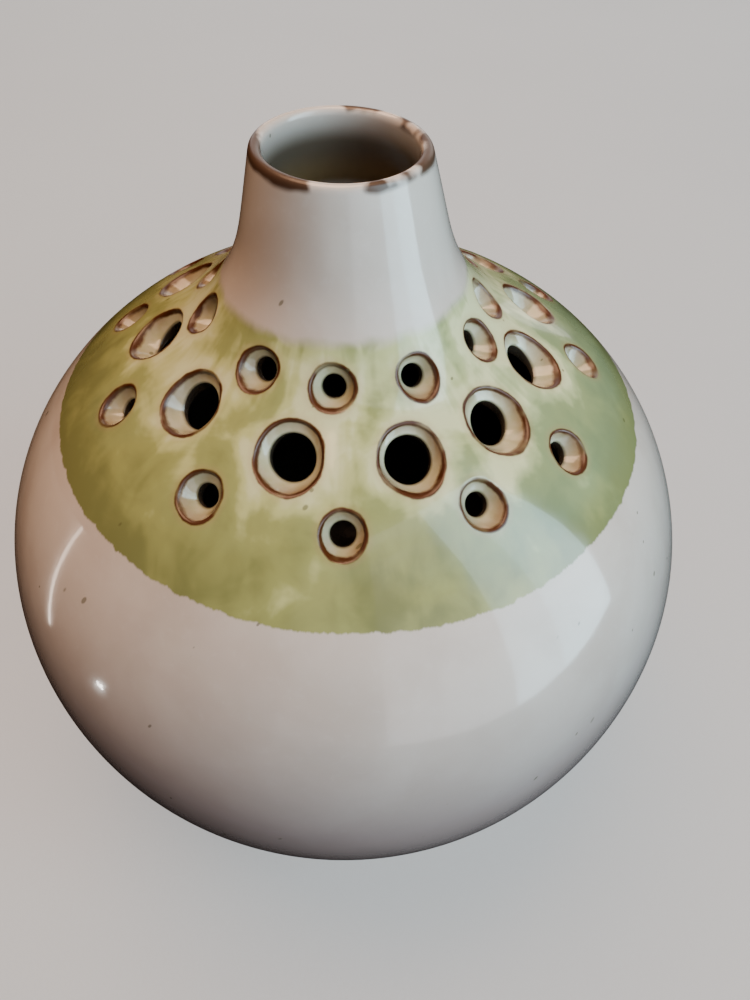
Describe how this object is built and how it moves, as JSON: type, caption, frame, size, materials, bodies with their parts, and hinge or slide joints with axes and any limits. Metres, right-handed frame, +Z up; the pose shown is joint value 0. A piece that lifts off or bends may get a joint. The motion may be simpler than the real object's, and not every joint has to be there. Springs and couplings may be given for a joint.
{
  "type": "flower frog vase",
  "caption": "Round stoneware flower frog with a short open neck and rings of stem holes pierced through a green-glazed shoulder.",
  "frame": {"origin": "centre of the foot on the surface the pot stands on", "axes": "+Z up along the axis the pot was thrown round, -Y towards the front of the rings of holes"},
  "size_m": [0.15, 0.15, 0.1599],
  "materials": {
    "bare_stoneware": "matte fired clay, sandy brown",
    "stoneware_body": "fired clay under the glaze",
    "white_glaze": "glossy warm white glaze with small dark specks, rust brown where it breaks over the lip",
    "green_glaze": "glossy translucent yellow-green glaze, mottled, darker where it pools",
    "stem_hole_glaze": "glossy cream glaze, rust brown where it breaks over the edge of each hole",
    "liner_glaze": "glossy warm grey glaze inside the pot"
  },
  "bodies": {
    "root": {"foot_ring": "bare_stoneware", "bowl": "stoneware_body", "pierced_shoulder": "stoneware_body", "neck_collar": "stoneware_body", "body_glaze": "white_glaze", "shoulder_glaze": "green_glaze", "neck_glaze": "white_glaze", "stem_hole_glaze": "stem_hole_glaze", "liner_glaze": "liner_glaze"}
  },
  "joints": []
}
